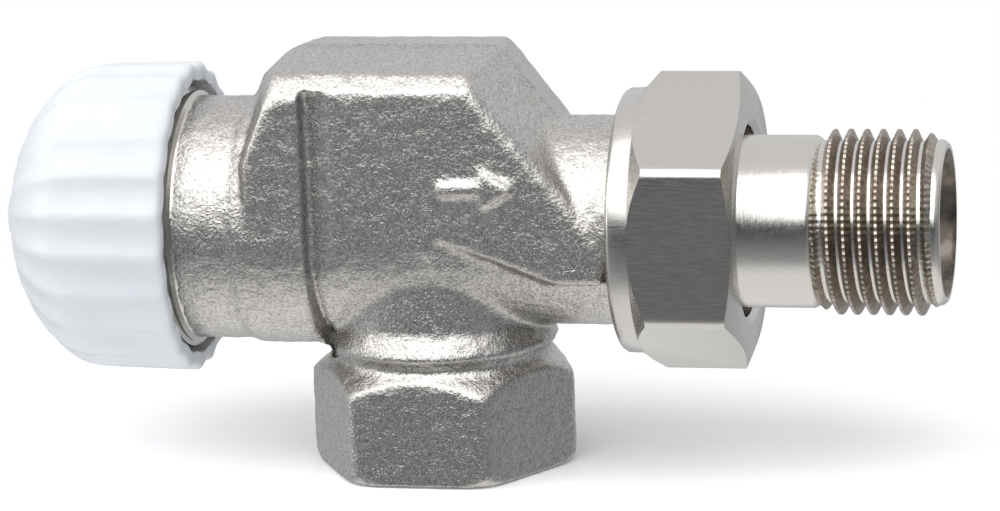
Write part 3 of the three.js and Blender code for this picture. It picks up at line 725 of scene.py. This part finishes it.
def drawn(name, points):
    """An open outline of (place, radius) points in mm, drawn from one vertex by extruding it from point to point."""
    bpy.ops.object.select_all(action="DESELECT")
    bpy.ops.mesh.primitive_plane_add(size=0.001, location=(points[0][0] * MM, 0, AXIS_Z + points[0][1] * MM))
    piece = bpy.context.object
    piece.name = name
    bpy.ops.object.transform_apply(location=True, rotation=True, scale=True)
    bpy.ops.object.mode_set(mode="EDIT")
    bpy.ops.mesh.select_mode(type="VERT")
    bpy.ops.mesh.select_all(action="SELECT")
    bpy.ops.mesh.merge(type="CENTER")
    for (here, r_here), (there, r_there) in zip(points, points[1:]):
        bpy.ops.mesh.extrude_vertices_move(
            TRANSFORM_OT_translate={"value": ((there - here) * MM, 0, (r_there - r_here) * MM)})
    return finish_edit(piece)


def spun(piece, angle, steps, copies=False):
    edit(piece)
    bpy.ops.mesh.spin(steps=steps, dupli=copies, angle=angle, center=(0, 0, AXIS_Z), axis=(1, 0, 0))
    return finish_edit(piece)


cap = drawn("protective_cap_shell", CAP_OUTLINE)
flute_angle = 2 * math.pi / FLUTES
spun(cap, flute_angle, COLUMNS)
first = min(math.atan2(v.co.y, v.co.z - AXIS_Z) for v in cap.data.vertices if v.co.z - AXIS_Z > 5 * MM)
for column, dip in DIP_OF_COLUMN.items():
    for low_r, high_r, share in RINGS_THAT_DIP:
        def on_this_ring(co):
            radius = math.hypot(co.y, co.z - AXIS_Z) / MM
            here = (math.atan2(co.y, co.z - AXIS_Z) - first) / flute_angle * COLUMNS
            outside = radius > 16 or co.x < -36.5 * MM and radius > (co.x / MM + 51.5) * 1.25
            return low_r <= radius < high_r and abs(here - column) < 0.1 and outside
        edit(cap, on_this_ring)
        shrink = 1 - DEEPEST * dip * share
        bpy.ops.transform.resize(value=(1, shrink, shrink), center_override=(0, 0, AXIS_Z))
        finish_edit(cap)
print("one flute:", len(cap.data.polygons), "faces")

# %% All round
spun(cap, flute_angle * (FLUTES - 1), FLUTES - 1, copies=True)
face_outwards(cap, merge=2e-6)
smooth_above(cap, 42)
place_on(finished_as(cap, cap_plastic), "cap", "cap_plastic", "protective_cap")
print("cap:", len(cap.data.polygons), "faces")

# %% [markdown]
# ## The union nut
# The nut is sawn from drawn hexagon bar, 30 mm across flats, and turned at both ends: a round collar on the left
# and a chamfer on each side, whose cones leave the curved edges on the flats. So the bar is intersected with the
# turned shape, and the bore and the thread inside are cut with a tap of their own.

# %% The nut
NUT_CORNER = 30 / math.sqrt(3)
bpy.ops.object.select_all(action="DESELECT")
bpy.ops.mesh.primitive_cylinder_add(vertices=6, radius=NUT_CORNER * MM, depth=11.7 * MM,
                                    location=(30.45 * MM, 0, 0), rotation=(0, math.pi / 2, 0))
nut = bpy.context.object
nut.name = "union_nut_turned"
bpy.ops.object.transform_apply(location=True, rotation=True, scale=True)
nut.rotation_euler = (math.radians(30), 0, 0)
nut.location = (0, 0, AXIS_Z)
bpy.ops.object.transform_apply(location=True, rotation=True, scale=True)
print("corner points up:", max(v.co.z for v in nut.data.vertices) > AXIS_Z + 0.98 * NUT_CORNER * MM)
edit_edges(nut, lambda middle, direction: abs(direction.x) > 0.9)
bpy.ops.mesh.bevel(offset=0.75 * MM, segments=4, affect="EDGES")
finish_edit(nut)
combine(nut, turned("nut_cones", [(22, 15.2), (24.7, 15.2), (26.7, 17.4), (35.2, 17.4), (36.3, 14.7)], sides=144),
        "INTERSECT")
combine(nut, turned("collar", [(22.1, 14.3), (22.3, 14.7), (22.7, 14.95), (24.4, 15), (25.2, 15)], sides=144), "UNION")
nut_tap = turned("nut_tap", [(21, 13.9), (22.1, 13.9), (22.7, 13.35), (33.4, 13.35), (33.4, 10.83), (35.75, 10.83),
                             (36.3, 11.5), (37, 11.5)], sides=144)
combine(nut_tap, ridge("nut_thread", 23.6, 4.4, 1.814, 13.35, 13.95, 0.2), "UNION")
combine(nut, nut_tap, "DIFFERENCE")
smooth_above(nut, 32)
place_on(finished_as(nut, drawn_nickel), "nut", "nickel_turned", "union_nut")
print("nut:", len(nut.data.polygons), "faces")

# %% [markdown]
# ## The tail piece
# The tail is a turned tube with an R 1/2 thread. Its crests are pressed with about eighty notches a turn, which
# bite into the hemp or tape that seals the joint. The ridge is wound with four steps to a notch, and its crest is
# pushed in a little at two of them and more at a third, which leaves a row of small round beads. At both
# ends the crest sinks step by step, where the die runs in and out. Two lugs in the bore take the key that screws it in.

# %% The tail
tail = turned("tail_pipe", [(30.6, 12.4), (30.9, 12.7), (32.8, 12.7), (33.05, 12.5), (33.1, 9.9), (33.3, 9.7),
                            (43.6, 9.7), (44, 9.5), (44.4, 9.12), (57.2, 9.12), (57.6, 9.3), (58.0, 9.2),
                            (58.4, 8.85)], sides=160)
NOTCHES, STEPS_PER_NOTCH = 80, 4
thread = ridge("tail_thread", 43.9, 7.45, 1.814, 9.12, 10.42, 0.3, steps=NOTCHES * STEPS_PER_NOTCH)
for phases, pushed_to in (((1, 3), 0.995), ((2,), 0.984)):
    def is_notched(co):
        radius = math.hypot(co.y, co.z - AXIS_Z)
        step = round(math.atan2(co.y, co.z - AXIS_Z) / (2 * math.pi) * NOTCHES * STEPS_PER_NOTCH)
        return radius > 10.3 * MM and step % STEPS_PER_NOTCH in phases

    edit(thread, is_notched)
    bpy.ops.transform.resize(value=(1, pushed_to, pushed_to), center_override=(0, 0, AXIS_Z))
    finish_edit(thread)
for run_out in range(8):
    def is_near_an_end(co):
        near = co.x < (45.6 - 0.2 * run_out) * MM or co.x > (55.9 + 0.2 * run_out) * MM
        return near and math.hypot(co.y, co.z - AXIS_Z) > 9.2 * MM

    edit(thread, is_near_an_end)
    bpy.ops.transform.resize(value=(1, 0.987, 0.987), center_override=(0, 0, AXIS_Z))
    finish_edit(thread)
finished_as(thread, thread_nickel_painted_shade)
combine(finished_as(tail, turned_nickel), thread, "UNION")
tail_bore = turned("tail_bore", [(30, 7.9), (57.9, 7.9), (58.5, 8.4)], sides=160)
combine(tail, finished_as(tail_bore, bore_nickel_painted_shade), "DIFFERENCE")
for low_z, high_z in ((6.5, 8.4), (-8.4, -6.5)):
    lug = box("lug", (47, -1.5, low_z), (53, 1.5, high_z))
    modify(lug, "BEVEL", width=0.3 * MM, segments=2)
    combine(tail, lug, "UNION")
smooth_above(tail, 48)
place_on(tail, "tail", "nickel_turned", "tail_piece")
print("tail:", len(tail.data.polygons), "faces")

# %% [markdown]
# ## The return spring
# The spring holds the valve open and is squeezed when the pin goes in, so a stiff piece would poke through its
# seat. It is wound here from a ring of wire by the Screw modifier, as on a mandrel.
# Its fixed end leans on the presetting stem.

# %% The spring
WIRE_RADIUS, COIL_RADIUS, COILS, WIRE_SIDES, COIL_STEPS = 0.42 * MM, 3.6 * MM, 5, 12, 32
spring_low, spring_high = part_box("return_spring")
bpy.ops.object.select_all(action="DESELECT")
bpy.ops.mesh.primitive_circle_add(vertices=WIRE_SIDES, radius=WIRE_RADIUS, rotation=(math.pi / 2, 0, 0),
                                  location=(spring_low.x + WIRE_RADIUS, 0, AXIS_Z))
spring = bpy.context.object
spring.name = "return_spring_wound"
bpy.ops.object.transform_apply(location=False, rotation=True, scale=True)
edit(spring)
bpy.ops.transform.translate(value=(0, 0, COIL_RADIUS))
finish_edit(spring)
spring_length = spring_high.x - spring_low.x
modify(spring, "SCREW", axis="X", angle=2 * math.pi * COILS, screw_offset=spring_length - 2 * WIRE_RADIUS,
       steps=COIL_STEPS * COILS, render_steps=COIL_STEPS * COILS, use_merge_vertices=False)
alone(spring)
bpy.ops.object.transform_apply(location=True, rotation=True, scale=True)
edit(spring, lambda co: False)
bpy.ops.mesh.select_mode(type="EDGE")
bpy.ops.mesh.select_non_manifold()
bpy.ops.mesh.fill_holes(sides=WIRE_SIDES)
finish_edit(spring)
smooth_above(face_outwards(spring), 50)
place_on(finished_as(spring, stainless), "preset_set", "stainless", "return_spring")
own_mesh(spring)
print("spring:", len(spring.data.polygons), "faces, squeezed from", round(spring_length / MM, 2), "mm")
